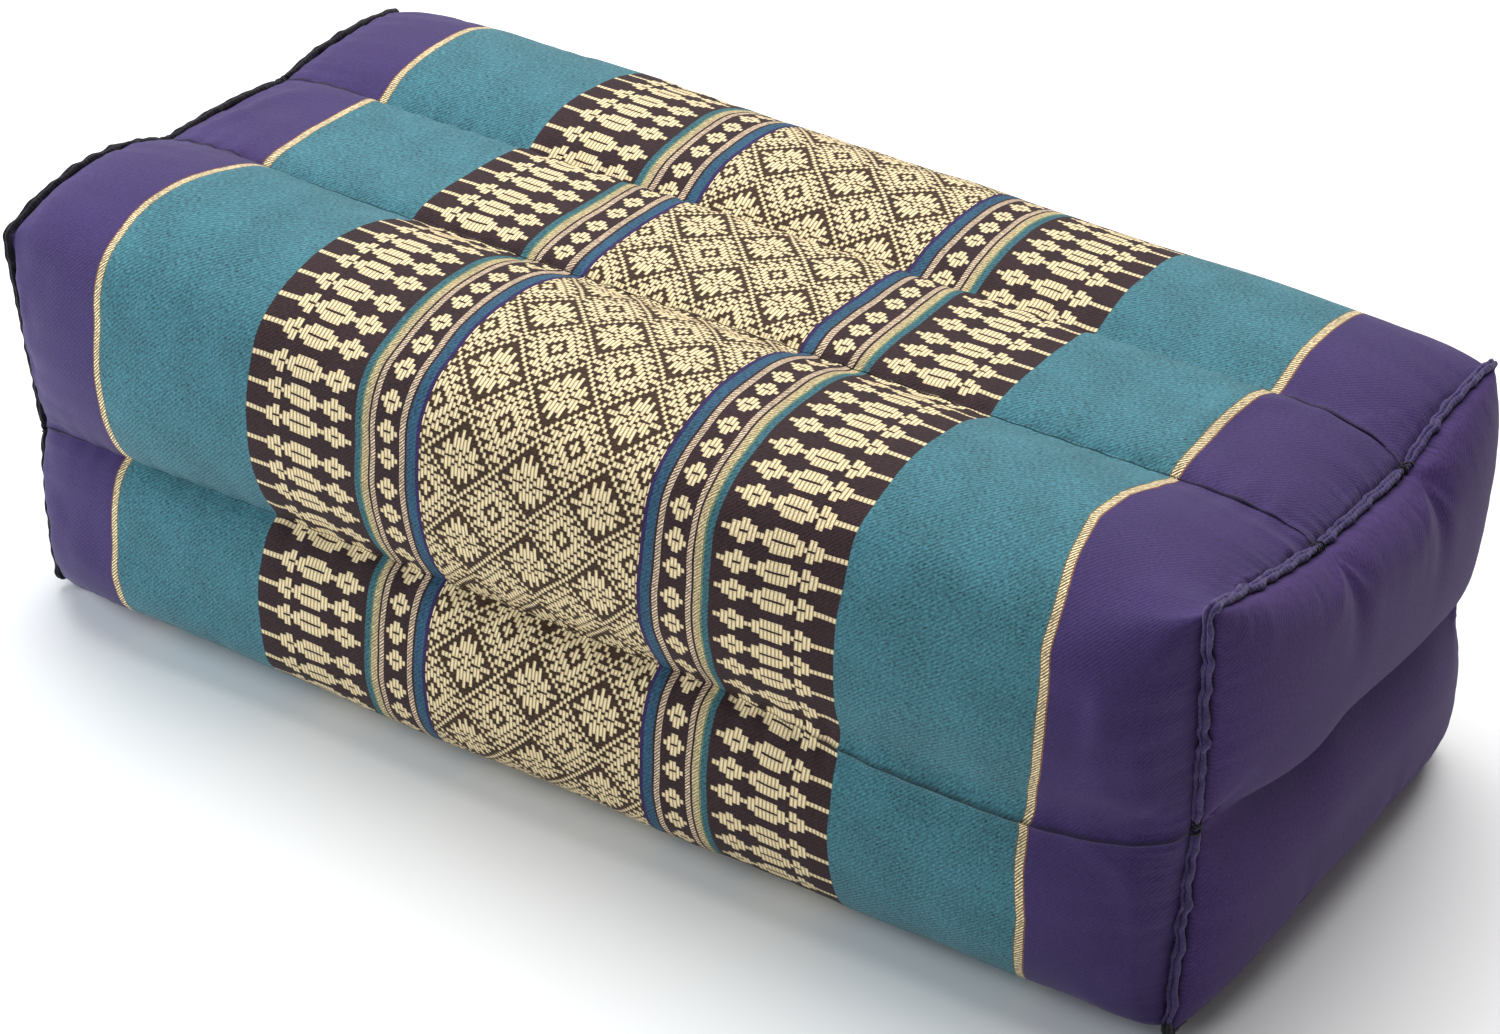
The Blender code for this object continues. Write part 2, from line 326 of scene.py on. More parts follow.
def seam_outline(end, steps_by_face, inset=0.0, packing=0.0):
    """The line of an end seam, or one a little inside it, as (y, z) in metres."""
    line = []
    for start, stop, _, face, *bows in RUNS:
        first, last = np.array(JOINS[start][end]), np.array(JOINS[stop][end])
        along = (last - first) / np.linalg.norm(last - first)
        outward = np.array((-along[1], along[0]))
        for t in shares(steps_by_face[face], start, stop, packing)[:-1]:
            line.append(first + (last - first) * t + outward * bows[end - 1] * 4 * t * (1 - t))
    line = np.array(line) * MM
    return line + inward_step(line) * inset


def inward_step(line):
    """How a closed line's points move when all its sides move inwards by one."""
    sides = np.roll(line, -1, axis=0) - line
    after = np.stack([sides[:, 1], -sides[:, 0]], axis=1)
    after /= np.linalg.norm(after, axis=1)[:, None]
    before = np.roll(after, 1, axis=0)
    return (before + after) / (1 + (before * after).sum(axis=1))[:, None]


def swell(x):
    """How far the tubes have filled out, from 0 at the end of the wrap to 1."""
    past = max(0.0, abs(x) - WRAP_END + TAPER_LENGTH) / TAPER_LENGTH
    return max(0.0, 1 - past ** TAPER_SQUARE) ** (1 / TAPER_SQUARE)


def closed(line):
    """A closed line with its first point again at the end."""
    return np.vstack([line, line[:1]])


def arc_lengths(line):
    """How far along a line each of its points lies."""
    return np.concatenate([[0], np.cumsum(np.linalg.norm(np.diff(line, axis=0), axis=1))])


def run_starts():
    """The place in the wrap's outline where each run starts."""
    return np.cumsum([0] + [WRAP_STEPS[face] for _, _, _, face, *_ in RUNS])


# Mesh and object calls

def put_in_scene(name, data):
    """An object made from a mesh, lamp or camera, in the scene."""
    made = bpy.data.objects.new(name, data)
    bpy.context.scene.collection.objects.link(made)
    return made


def new_object(name, mesh, material):
    """An object with one material, shown smooth."""
    mesh.shade_smooth()
    mesh.materials.append(material)
    return put_in_scene(name, mesh)


def vectors(items, name):
    """One vector for each item of a mesh's list, as an array."""
    flat = np.empty(len(items) * 3, dtype=np.float32)
    items.foreach_get(name, flat)
    return flat.reshape(-1, 3).astype(float)


def set_coordinates(mesh, points):
    """Moves a mesh's vertices to the points of an array."""
    mesh.vertices.foreach_set("co", points.astype(np.float32).ravel())
    mesh.update()


def read_values(mesh, name):
    """One number for each vertex, kept in the mesh under a name."""
    values = np.empty(len(mesh.vertices), dtype=np.float32)
    mesh.attributes[name].data.foreach_get("value", values)
    return values.astype(float)


def keep_values(mesh, name, values, kind="POINT"):
    """Keeps one number for each vertex, or edge, in the mesh under a name."""
    made = mesh.attributes.new(name, "FLOAT", kind)
    made.data.foreach_set("value", values.astype(np.float32))


def row_places(at, beside=0.0):
    """Places for the noise, at distances along a line and beside it."""
    zeros = np.zeros(len(at))
    return np.column_stack([at, beside + zeros, zeros])


def lumps(points, size, seed):
    """Soft noise from -1 to 1 at each point, with lumps of about one size."""
    return np.array([noise.noise((x, y, z + seed)) for x, y, z in points / size])


# The wrap

def wrap_rings():
    """Where the wrap's rings lie, closer together towards the end seams."""
    straight = WRAP_END - TAPER_LENGTH
    turns = np.linspace(0, math.pi / 2, WRAP_TAPER_RINGS + 1)
    right = straight + TAPER_LENGTH * np.sin(turns)
    between = np.linspace(-straight, straight, WRAP_MIDDLE_RINGS + 1)[1:-1]
    return np.concatenate([-right[::-1], between, right])


def wrap_points(places):
    """The wrap's points as (rings, around, 3)."""
    ends = {end: seam_outline(end, WRAP_STEPS, WRAP_INSET, WRAP_PACKING) for end in (LEFT, RIGHT)}
    rings = []
    for x in places:
        end = ends[LEFT if x < 0 else RIGHT]
        outline = end + (full_outline(x) - end) * swell(x)
        rings.append(np.column_stack([np.full(len(outline), x), outline]))
    points = np.array(rings)
    points[:, :, 2] = np.maximum(points[:, :, 2], 0)
    return points


def drawn(tube, x, from_crease):
    """The place on the cloth that lies at x, one distance from the tube's first crease."""
    table = DRAWN.get((tube, LEFT if x < 0 else RIGHT))
    if not table:
        return x
    at, moves = zip(*table)
    return x + np.interp(from_crease / MM, at, moves) * MM * ease(abs(x) / MM, DRAWN_FROM, DRAWN_TO)


def cloth_places():
    """Each run's places round the cloth, in its own pattern's rows, in metres."""
    outline = closed(full_outline(0.0))
    starts = run_starts()
    found, so_far, last_tube = [], 0.0, RUNS[-1][2]
    for k, (_, _, tube, *_) in enumerate(RUNS):
        if tube != last_tube:
            so_far = -FIRST_STAR[tube] * MM
        run = arc_lengths(outline[starts[k]:starts[k + 1] + 1]) + so_far
        found.append(run)
        so_far, last_tube = run[-1], tube
    shift = found[-1][-1] - found[0][0]
    found[0] = found[0] + shift
    return found


def crease_gaps():
    """Each column's place round the cloth, its distance to the nearest crease, and that crease."""
    around = arc_lengths(closed(full_outline(0.0)))
    starts = run_starts()
    found = [around[starts[k]] for k, run in enumerate(RUNS) if run[0] in CREASES]
    away = np.abs(around[:-1, None] - np.array(found)[None, :])
    away = np.minimum(away, around[-1] - away)
    return around[:-1], away.min(axis=1), away.argmin(axis=1)


def build_wrap_mesh():
    """The wrap before it is stuffed, with its flat-cloth coordinates as UVs."""
    places = wrap_rings()
    points = wrap_points(places)
    rings, around = points.shape[:2]
    mesh = bpy.data.meshes.new("cushion_wrap")
    faces, cloth = [], []
    starts = run_starts()
    runs = cloth_places()
    for i in range(rings - 1):
        for k in range(len(RUNS)):
            for j in range(starts[k], starts[k + 1]):
                after = (j + 1) % around
                faces.append((i * around + j, i * around + after,
                              (i + 1) * around + after, (i + 1) * around + j))
                tube = RUNS[k][2]
                low, high = runs[k][j - starts[k]], runs[k][j - starts[k] + 1]
                for x, v in ((places[i], low), (places[i], high),
                             (places[i + 1], high), (places[i + 1], low)):
                    cloth += [drawn(tube, x, v + FIRST_STAR[tube] * MM), v]
    faces.append(tuple(range(around))[::-1])
    faces.append(tuple(range((rings - 1) * around, rings * around)))
    cloth += [0, 0] * 2 * around
    mesh.from_pydata(points.reshape(-1, 3).tolist(), [], faces)
    layer = mesh.uv_layers.new(name="cloth")
    layer.data.foreach_set("uv", np.array(cloth, dtype=np.float32))
    girth, gap, which = crease_gaps()
    keep_values(mesh, "girth", np.tile(girth, rings))
    keep_values(mesh, "gap", np.tile(gap, rings))
    keep_values(mesh, "crease_number", np.tile(which, rings))
    keep_values(mesh, "along", np.repeat(places, around))
    on_crease = np.tile(gap < 1e-6, rings)
    at_end = np.zeros(rings * around, dtype=bool)
    at_end[:around] = at_end[-around:] = True
    return mesh, np.flatnonzero(on_crease | at_end), on_crease


def stuff(piece, sewn):
    """Blows the cloth up a little between its sewn lines."""
    before = vectors(piece.data.vertices, "co")
    held = piece.vertex_groups.new(name="sewn")
    held.add([int(k) for k in sewn], 1.0, "REPLACE")
    cloth = piece.modifiers.new("stuffing", "CLOTH")
    for name, value in STUFFING.items():
        setattr(cloth.settings, name, value)
    cloth.settings.effector_weights.gravity = 0
    cloth.settings.vertex_group_mass = "sewn"
    cloth.point_cache.frame_start = 1
    cloth.point_cache.frame_end = STUFFING_FRAMES
    for number in range(1, STUFFING_FRAMES + 1):
        bpy.context.scene.frame_set(number)
    shown = piece.evaluated_get(bpy.context.evaluated_depsgraph_get())
    moved = vectors(shown.data.vertices, "co") - before
    length = np.linalg.norm(moved, axis=1)
    away = 1 - np.exp(-(read_values(piece.data, "gap") / STUFFING_FADE) ** 2)
    most = STUFFING_REACH * (CREASE_SHARE + (1 - CREASE_SHARE) * away)
    share = np.tanh(length / most) * most / np.maximum(length, 1e-9)
    piece.modifiers.remove(cloth)
    piece.vertex_groups.remove(held)
    bpy.context.scene.frame_set(1)
    set_coordinates(piece.data, before + moved * share[:, None])


def remove_end_faces(mesh):
    """Opens the wrap's ends again, which the panels close."""
    edit = bmesh.new()
    edit.from_mesh(mesh)
    ends = [face for face in edit.faces if len(face.verts) > 4]
    bmesh.ops.delete(edit, geom=ends, context="FACES")
    edit.to_mesh(mesh)
    edit.free()


def refine(piece, sharp):
    """One subdivision, with the sewn creases kept narrow."""
    mesh = piece.data
    ends = np.empty(len(mesh.edges) * 2, dtype=np.int32)
    mesh.edges.foreach_get("vertices", ends)
    keep_values(mesh, "crease_edge", 0.75 * sharp[ends.reshape(-1, 2)].all(axis=1), "EDGE")
    modifier = piece.modifiers.new("finer", "SUBSURF")
    modifier.levels = modifier.render_levels = 1
    modifier.uv_smooth = "NONE"
    modifier.boundary_smooth = "ALL"
    shown = piece.evaluated_get(bpy.context.evaluated_depsgraph_get())
    finer = bpy.data.meshes.new_from_object(shown)
    piece.modifiers.clear()
    piece.data = finer
    bpy.data.meshes.remove(mesh)


def gather_wrap(piece):
    """Small gathers along the creases and end seams, and the unevenness of the stuffing."""
    mesh = piece.data
    points, normals = vectors(mesh.vertices, "co"), vectors(mesh.vertex_normals, "vector")
    along, girth = read_values(mesh, "along"), read_values(mesh, "girth")
    gap, which = read_values(mesh, "gap"), np.round(read_values(mesh, "crease_number"))
    beside = row_places(along, which * 0.3)
    drift = lumps(beside, 0.026, 3.0)
    strength = 0.6 + 0.7 * lumps(beside, 0.034, 11.0)
    wave = np.sin(2 * math.pi * along / GATHER_PITCH + 3.2 * drift)
    deep = GATHER_DEPTH + GATHER_MORE / (1 + np.exp((np.abs(along) - PATTERN_REACH) / (3 * MM)))
    out = deep * strength * wave * np.exp(-gap / GATHER_FADE)
    to_end = np.maximum(0, WRAP_END - np.abs(along))
    seam_line = row_places(girth, np.sign(along) * 0.4)
    radial = lumps(seam_line, 0.0060, 5.0) + 0.6 * lumps(seam_line, 0.0027, 8.0)
    off_end = 1 - np.exp(-to_end / (2 * MM))
    out += PUCKER_DEPTH * radial * np.exp(-to_end / PUCKER_FADE) * off_end
    out += LUMP_DEPTH * lumps(points, LUMP_SIZE, 1.0) * (1 - np.exp(-gap / (12 * MM)))
    out -= STITCH_DEPTH * np.exp(-gap / STITCH_FADE) * off_end
    deeper = np.where(which == CREASES.index("front_crease"), 0.0, DEEPER)
    near_end = np.exp(-((to_end - DEEPEST_AT) / DEEPER_LENGTH) ** 2)
    out -= deeper * np.exp(-gap / DEEPER_FADE) * near_end
    points = points + normals * out[:, None]
    points[:, 2] = np.maximum(points[:, 2], 0)
    set_coordinates(mesh, points)


# The end panels

def arch(t, fullness, steepness=0.5):
    """A rounded hump over 0 to 1, steep at its feet unless the steepness is near 1."""
    return np.maximum(0.0, 1 - np.abs(2 * t - 1) ** fullness) ** steepness


def smooth_line(table, places):
    """A table of points read as one smooth line."""
    at, values = np.array(table).T
    fine = np.linspace(0, 1, 201)
    rough = np.interp(fine, at, values)
    window = np.hanning(23)[1:-1]
    soft = np.convolve(np.pad(rough, 10, mode="edge"), window, "same")[10:-10] / window.sum()
    return np.interp(places, fine, soft)


def panel_grid(end):
    """The outside of an end panel as (across, up, 3)."""
    across = 2 * PANEL_STEPS["outer"] + PANEL_STEPS["middle"]
    up = 2 * PANEL_STEPS["side"]
    line = closed(seam_outline(end, PANEL_STEPS, PANEL_INSET))
    corners = np.cumsum([0, up, across, up, across])
    front, top, back, bottom = (line[corners[k]:corners[k + 1] + 1] for k in range(4))
    back, bottom = back[::-1], bottom[::-1]
    a = np.linspace(0, 1, across + 1)[:, None, None]
    b = np.linspace(0, 1, up + 1)[None, :, None]
    flat = (front[None] * (1 - a) + back[None] * a + bottom[:, None] * (1 - b) + top[:, None] * b
            - front[0] * (1 - a) * (1 - b) - back[0] * a * (1 - b)
            - front[-1] * (1 - a) * b - back[-1] * a * b)
    a, b = a[:, :, 0], b[:, :, 0]
    y, z = flat[:, :, 0], flat[:, :, 1].copy()
    hump = arch(a, PANEL_SQUARE)
    lip = smooth_line(RIGHT_LIP if end == RIGHT else LEFT_LIP, a[:, 0])[:, None] * MM
    shift = lip + FOLD_OVERHANG * hump - z[:, up // 2][:, None]
    z += shift * (1 - np.abs(2 * b - 1)) ** 0.8
    upper = b > 0.5 + 1e-9
    z -= np.where(upper, FOLD_OVERHANG * hump * (2 - 2 * b) ** 3, 0)
    inside = (b > 0) & (b < 1)
    under_lip = (b > 0.25) & (b < 0.5)
    half = 2 * b % 1
    roll = np.where(under_lip, arch(half, UNDER_LIP_SQUARE, 1.0), arch(half, ROLL_SQUARE))
    if end == LEFT:
        roll = np.where(b > 0.75, arch(half, LEFT_TOP_SQUARE, 1.0), roll)
    roll = np.where(inside, roll, 0)
    bulge = np.where(upper, UPPER_BULGE, LOWER_BULGE)
    floor = np.where(inside, 1 - FOLD_DEPTH / bulge, 0)
    height = bulge * hump * np.maximum(roll, floor)
    top_gap = top[:, 1][:, None] - z
    for crease in ("top_front_crease", "top_back_crease"):
        away = (y - JOINS[crease][end][0] * MM) / PINCH_WIDTH
        height -= PINCH_DEPTH * np.exp(-away ** 2 - top_gap / PINCH_LENGTH) * roll
    out = SEAM_TO_SEAM / 2 + height
    return np.stack([out * HANDS[end], y, z], axis=2)


def grid_normals(grid, end):
    """The outward direction at each point of a panel's grid."""
    normals = np.cross(np.gradient(grid, axis=0), np.gradient(grid, axis=1)) * HANDS[end]
    return normals / np.linalg.norm(normals, axis=2)[:, :, None]


def seam_distance(grid, end):
    """How far each point of a panel is from the seam, and the nearest place round it."""
    line = seam_outline(end, PANEL_STEPS, PANEL_INSET)
    flat = grid[:, :, 1:].reshape(-1, 2)
    away = np.full(len(flat), 1.0)
    nearest = np.zeros(len(flat))
    around = arc_lengths(closed(line))
    for k, point in enumerate(line):
        gap = np.linalg.norm(flat - point, axis=1)
        closer = gap < away
        away[closer] = gap[closer]
        nearest[closer] = around[k]
    shape = grid.shape[:2]
    return away.reshape(shape), nearest.reshape(shape)


def dress_panel(grid, end):
    """Adds the small folds that the seam and its knots pull into a panel."""
    away, around = seam_distance(grid, end)
    flat = grid.reshape(-1, 3)
    places = row_places(around.ravel())
    radial = lumps(places, 0.0055, 2.0 + end).reshape(away.shape)
    soft = lumps(flat, 0.040, 6.0).reshape(away.shape)
    fade = 1 - np.exp(-away / 0.003)
    puckers = lumps(places, 0.0021, 7.0 + end).reshape(away.shape)
    out = (FOLD_RELIEF * radial * np.exp(-away / 0.008) + LUMP_RELIEF * soft) * fade
    out += PUCKER_RELIEF * puckers * np.exp(-away / 0.0045) * (1 - np.exp(-away / 0.001))
    for crease in CREASES:
        y, z = np.array(JOINS[crease][end]) * MM
        dy, dz = grid[:, :, 1] - y, grid[:, :, 2] - z
        gap = np.hypot(dy, dz)
        turn = np.arctan2(dy, -dz)
        rays = np.cos(5.0 * turn + 1.3) + 0.5 * np.cos(9.0 * turn)
        out -= RAY_RELIEF * rays * np.exp(-gap / 0.010) * (1 - np.exp(-gap / 0.004))
    return grid + grid_normals(grid, end) * out[:, :, None]


def build_panel(side, material):
    """One end panel: a sheet of cloth over the swelling end of the stuffing."""
    end = SIDES[side]
    grid = dress_panel(panel_grid(end), end)
    normals = grid_normals(grid, end)
    inner = grid - normals * PANEL_THICKNESS
    across, up = grid.shape[0] - 1, grid.shape[1] - 1
    count = (across + 1) * (up + 1)
    place = np.arange(count).reshape(across + 1, up + 1)
    faces = []
    for i in range(across):
        for j in range(up):
            face = (place[i, j], place[i + 1, j], place[i + 1, j + 1], place[i, j + 1])
            faces.append(face)
            faces.append(tuple(k + count for k in reversed(face)))
    rim = [*place[0, :-1], *place[:-1, up], *place[across, :0:-1], *place[:0:-1, 0]]
    for k in range(len(rim)):
        faces.append((rim[k - 1], rim[k], rim[k] + count, rim[k - 1] + count))
    if end == LEFT:
        faces = [tuple(reversed(face)) for face in faces]
    points = np.vstack([grid.reshape(-1, 3), inner.reshape(-1, 3)])
    mesh = bpy.data.meshes.new(f"end_cloth_{side}")
    mesh.from_pydata(points.tolist(), [], [[int(k) for k in face] for face in faces])
    layer = mesh.uv_layers.new(name="cloth")
    corner = np.empty(len(mesh.loops), dtype=np.int32)
    mesh.loops.foreach_get("vertex_index", corner)
    flat = points[corner][:, 1:].astype(np.float32)
    layer.data.foreach_set("uv", flat.ravel())
    piece = new_object(f"end_cloth_{side}", mesh, material)
    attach(piece, "root")
    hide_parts(f"end_panel_{side}")
    return piece


# The raised seams

def even_loop(end):
    """One end's seam in even steps, with rounded corners: points, directions outwards, places."""
    line = closed(seam_outline(end, PANEL_STEPS))
    around = arc_lengths(line)
    count = int(around[-1] / SEAM_STEP)
    at = np.linspace(0, around[-1], count, endpoint=False)
    loop = np.column_stack([np.interp(at, around, line[:, k]) for k in (0, 1)])
    for _ in range(3):
        loop = (np.roll(loop, 1, axis=0) + loop + np.roll(loop, -1, axis=0)) / 3
    tangent = np.roll(loop, -1, axis=0) - np.roll(loop, 1, axis=0)
    tangent /= np.linalg.norm(tangent, axis=1)[:, None]
    return loop, np.column_stack([-tangent[:, 1], tangent[:, 0]]), at, around[-1]


def tube_faces(count, sides):
    """The faces of a closed tube of so many rings and sides."""
    faces = []
    for i in range(count):
        for j in range(sides):
            after, beside = (i + 1) % count, (j + 1) % sides
            faces.append((i * sides + j, i * sides + beside, after * sides + beside, after * sides + j))
    return faces


def sweep(loop, outward, x, sections):
    """A closed tube round a loop: sections are (points, sides, 2), as (along x, outwards)."""
    flat = loop[:, None] + outward[:, None] * sections[:, :, 1:]
    points = np.concatenate([x + sections[:, :, :1], flat], axis=2)
    return points.reshape(-1, 3), tube_faces(*sections.shape[:2])


def oval_sections(middle, wide, high):
    """Sections of an oval strand: its middle, and its half width and half height."""
    turn = np.linspace(0, 2 * math.pi, STRAND_SIDES, endpoint=False)
    return np.stack([middle[:, 0, None] + wide[:, None] * np.cos(turn),
                     middle[:, 1, None] + high[:, None] * np.sin(turn)], axis=2)


def near_knots(loop, end, reach):
    """1 at each knot of a seam, fading to 0 over a distance."""
    knots = np.array([JOINS[name][end] for name in CREASES]) * MM
    away = np.linalg.norm(loop[:, None] - knots[None], axis=2).min(axis=1)
    return np.exp(-(away / reach) ** 2)


def strand_piece(name, strands, material):
    """One object from several closed tubes, each as (points, faces)."""
    points, faces = [], []
    for strand, strand_faces in strands:
        offset = sum(len(part) for part in points)
        points.append(strand)
        faces += [tuple(k + offset for k in face) for face in strand_faces]
    mesh = bpy.data.meshes.new(name)
    mesh.from_pydata(np.vstack(points).tolist(), [], faces)
    edit = bmesh.new()
    edit.from_mesh(mesh)
    bmesh.ops.recalc_face_normals(edit, faces=edit.faces)
    edit.to_mesh(mesh)
    edit.free()
    piece = new_object(name, mesh, material)
    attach(piece, "root")
    return piece


def seam_sway(at, end, wander):
    """How far a seam's pair of edges strays along the cushion, at places round the seam."""
    line = row_places(at)
    return (lumps(line, 0.0058, 2.0 * end) + 0.6 * lumps(line, 0.0026, 4.0 * end)) * wander


def build_seam(side, material):
    """The raised seam allowance round one end: two rolled edges, drawn in by the stitches."""
    end = SIDES[side]
    sign = HANDS[end]
    apart, beyond, outwards, wide, high, wander = (size * MM for size in EDGE_PAIRS[side])
    loop, outward, at, length = even_loop(end)
    line = row_places(at)
    sway = seam_sway(at, end, wander)
    turns = round(length / STITCH_PITCH)
    pulls = np.cos(2 * math.pi * at / length * turns + 4.0 * lumps(line, 0.03, 9.0))
    knot = near_knots(loop, end, 0.0030)
    strands = []
    for number, hand in enumerate((-1, 1)):
        shape = 1 + 0.12 * pulls + 0.35 * lumps(line, 0.0036, 20.0 + number)
        spread = 1 - 0.6 * knot + 0.35 * lumps(line, 0.0044, 40.0)
        across = beyond * sign + hand * apart * spread + sway
        lift = outwards + 0.0004 * lumps(line, 0.0055, 30.0 + number) - 0.0003 * knot
        middle = np.column_stack([across, lift])
        sections = oval_sections(middle, wide * shape, high * shape)
        strands.append(sweep(loop, outward, sign * SEAM_TO_SEAM / 2, sections))
    piece = strand_piece(f"end_edging_{side}", strands, material)
    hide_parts(f"end_seam_{side}")
    return piece


def build_knots(side, material):
    """Windings of thread over the seam where each crease ends in it."""
    end = SIDES[side]
    sign = HANDS[end]
    apart, beyond, outwards, wide, high, wander = (size * MM for size in EDGE_PAIRS[side])
    loop, outward, at, _ = even_loop(end)
    middle = sign * (SEAM_TO_SEAM / 2) + beyond * sign + seam_sway(at, end, wander)
    across, up = 0.4 * apart + wide + 0.00022, high + 0.00008
    turn = np.linspace(0, 2 * math.pi, WINDING_POINTS, endpoint=False)
    strands = []
    for name in CREASES:
        knot = np.array(JOINS[name][end]) * MM
        nearest = int(np.linalg.norm(loop - knot, axis=1).argmin())
        for number in range(WINDINGS):
            k = (nearest - WINDINGS // 2 + number) % len(loop)
            out2, along2 = outward[k], np.array((-outward[k][1], outward[k][0]))
            lean = 0.0010 * math.sin(number * 2.1 + len(name))
            size = 1 + 0.08 * math.sin(number * 1.7)
            ring = np.empty((WINDING_POINTS, 3))
            ring[:, 0] = middle[k] + across * size * np.cos(turn)
            slant = lean * np.cos(turn)
            rise = outwards - 0.0003 + up * size * np.sin(turn)
            ring[:, 1:] = loop[k] + np.outer(rise, out2) + np.outer(slant, along2)
            strands.append(ring_tube(ring, WINDING_RADIUS, along2))
    return strand_piece(f"knot_thread_{side}", strands, material)


def ring_tube(ring, radius, along2):
    """A thin closed thread through a ring of points."""
    sides = 6
    centre = ring.mean(axis=0)
    side_way = np.array((0.0, along2[0], along2[1]))
    points = []
    for place in ring:
        out = (place - centre) / np.linalg.norm(place - centre)
        for j in range(sides):
            turn = 2 * math.pi * j / sides
            points.append(place + radius * (math.cos(turn) * out + math.sin(turn) * side_way))
    return np.array(points), tube_faces(len(ring), sides)


# Materials

# The node sums that have a sign
SIGNS = {"+": "ADD", "-": "SUBTRACT", "*": "MULTIPLY", "/": "DIVIDE", ">": "GREATER_THAN", "<": "LESS_THAN"}


class Graph:
    """A material's nodes, with short calls for those used here."""

    def __init__(self, name, roughness, sheen):
        self.material = bpy.data.materials.new(name)
        self.material.use_nodes = True
        self.nodes = self.material.node_tree.nodes
        self.links = self.material.node_tree.links
        self.shader = self.nodes["Principled BSDF"]
        self.shader.inputs["Roughness"].default_value = roughness
        self.shader.inputs["Sheen Weight"].default_value = sheen
        self.shader.inputs["Sheen Roughness"].default_value = 0.5
        self.shader.inputs["Specular IOR Level"].default_value = 0.25

    def put(self, socket, value):
        """Links or sets one input."""
        if isinstance(value, bpy.types.NodeSocket):
            self.links.new(value, socket)
        elif isinstance(value, tuple) and len(value) == 3 and socket.type == "RGBA":
            socket.default_value = (*value, 1)
        else:
            socket.default_value = value

    def math(self, sign, *values):
        """One sum of numbers or sockets, by its sign or its name."""
        node = self.nodes.new("ShaderNodeMath")
        node.operation = SIGNS.get(sign, sign)
        for socket, value in zip(node.inputs, values):
            self.put(socket, value)
        return node.outputs[0]

    def between(self, value, low, high):
        """1 where a value lies between two others, else 0."""
        above = self.math(">", value, low)
        return self.math("*", above, self.math("<", value, high))

    def blend(self, share, first, second):
        """Goes from a first colour to a second as the share goes from 0 to 1."""
        node = self.nodes.new("ShaderNodeMix")
        node.data_type = "RGBA"
        self.put(node.inputs[0], share)
        self.put(node.inputs[6], first)
        self.put(node.inputs[7], second)
        return node.outputs[2]

    def scaled(self, colour, amount):
        """A colour made lighter or darker."""
        node = self.nodes.new("ShaderNodeVectorMath")
        node.operation = "SCALE"
        self.put(node.inputs[0], colour)
        self.put(node.inputs["Scale"], amount)
        return node.outputs[0]

    def point(self, x, y, z=0.0):
        """Three numbers as one place."""
        node = self.nodes.new("ShaderNodeCombineXYZ")
        for socket, value in zip(node.inputs, (x, y, z)):
            self.put(socket, value)
        return node.outputs[0]

    def parts(self, place):
        """A place as its three numbers."""
        node = self.nodes.new("ShaderNodeSeparateXYZ")
        self.links.new(place, node.inputs[0])
        return list(node.outputs)

    def noise(self, place, size, detail=2.0):
        """Noise about 0.5 with lumps of one size."""
        node = self.nodes.new("ShaderNodeTexNoise")
        self.put(node.inputs["Vector"], place)
        node.inputs["Scale"].default_value = 1 / size
        node.inputs["Detail"].default_value = detail
        return node.outputs["Fac"]

    def steps(self, place, stops):
        """A row of flat colours, each from its own place on."""
        node = self.nodes.new("ShaderNodeValToRGB")
        node.color_ramp.interpolation = "CONSTANT"
        elements = node.color_ramp.elements
        for at, colour in stops[1:-1]:
            elements.new(at).color = (*colour, 1)
        elements[0].position, elements[0].color = stops[0][0], (*stops[0][1], 1)
        elements[-1].position, elements[-1].color = stops[-1][0], (*stops[-1][1], 1)
        self.put(node.inputs[0], place)
        return node.outputs[0]

    def stripes(self, distance, stripes, span):
        """Stripes that each start at their own distance, within a span from the first."""
        first = stripes[0][0]
        share = self.math("/", self.math("-", distance, first), span)
        return self.steps(share, [((at - first) / span, colour) for at, colour in stripes])

    def cloth_place(self):
        """The place on the flat cloth in millimetres, along it and round it."""
        uv = self.nodes.new("ShaderNodeUVMap")
        uv.uv_map = "cloth"
        return [self.math("*", part, 1000.0) for part in self.parts(uv.outputs[0])[:2]]

    def cotton(self, u, v, strength):
        """The uneven tone of hand-woven cotton about 1, and its relief in millimetres."""
        m = self.math
        rise, fall = m("-", u, v), m("+", u, v)
        hatch = m("SINE", m("*", rise, 2 * math.pi / 1.3))
        twill = self.noise(self.point(m("*", rise, 0.72), m("*", fall, 0.30)), 0.42, 1.0)
        slub = self.noise(self.point(m("*", u, 0.30), v), 0.55)
        slub_along = self.noise(self.point(u, m("*", v, 0.25)), 0.60)
        patches = self.noise(self.point(u, v), 14.0, 4.0)
        tone = -1.675
        for value, share in ((slub, 0.65), (slub_along, 0.60), (twill, 1.60), (patches, 0.50),
                             (hatch, 0.16)):
            tone = m("+", m("*", value, share), tone)
        tone = m("+", m("*", tone, strength), 1.0)
        relief = m("*", m("+", hatch, twill), 0.020)
        return tone, m("+", relief, m("*", m("+", slub, slub_along), 0.08))

    def kept(self, name):
        """The numbers kept in the mesh under a name."""
        node = self.nodes.new("ShaderNodeAttribute")
        node.attribute_name = name
        return node.outputs["Fac"]

    def finish(self, colour, height):
        """Links the colour, and a height in millimetres as a bump."""
        self.put(self.shader.inputs["Base Color"], colour)
        bump = self.nodes.new("ShaderNodeBump")
        bump.inputs["Strength"].default_value = 1.0
        bump.inputs["Distance"].default_value = 0.001
        self.put(bump.inputs["Height"], height)
        self.links.new(bump.outputs[0], self.shader.inputs["Normal"])
        return self.material


def row_mask(rows):
    """The rows of half a repeat as one number, with two more past each end of it."""
    total = 0
    for place in range(-2, 14):
        row = abs(place) if place < 12 else 22 - place
        if row in rows:
            total += 2 ** (place + 2)
    return (total + 0.5) / 65536


def chart_masks(chart):
    """One number for each letter of a band's chart."""
    return [row_mask(PICK_ROWS[letter]) for letter in chart]


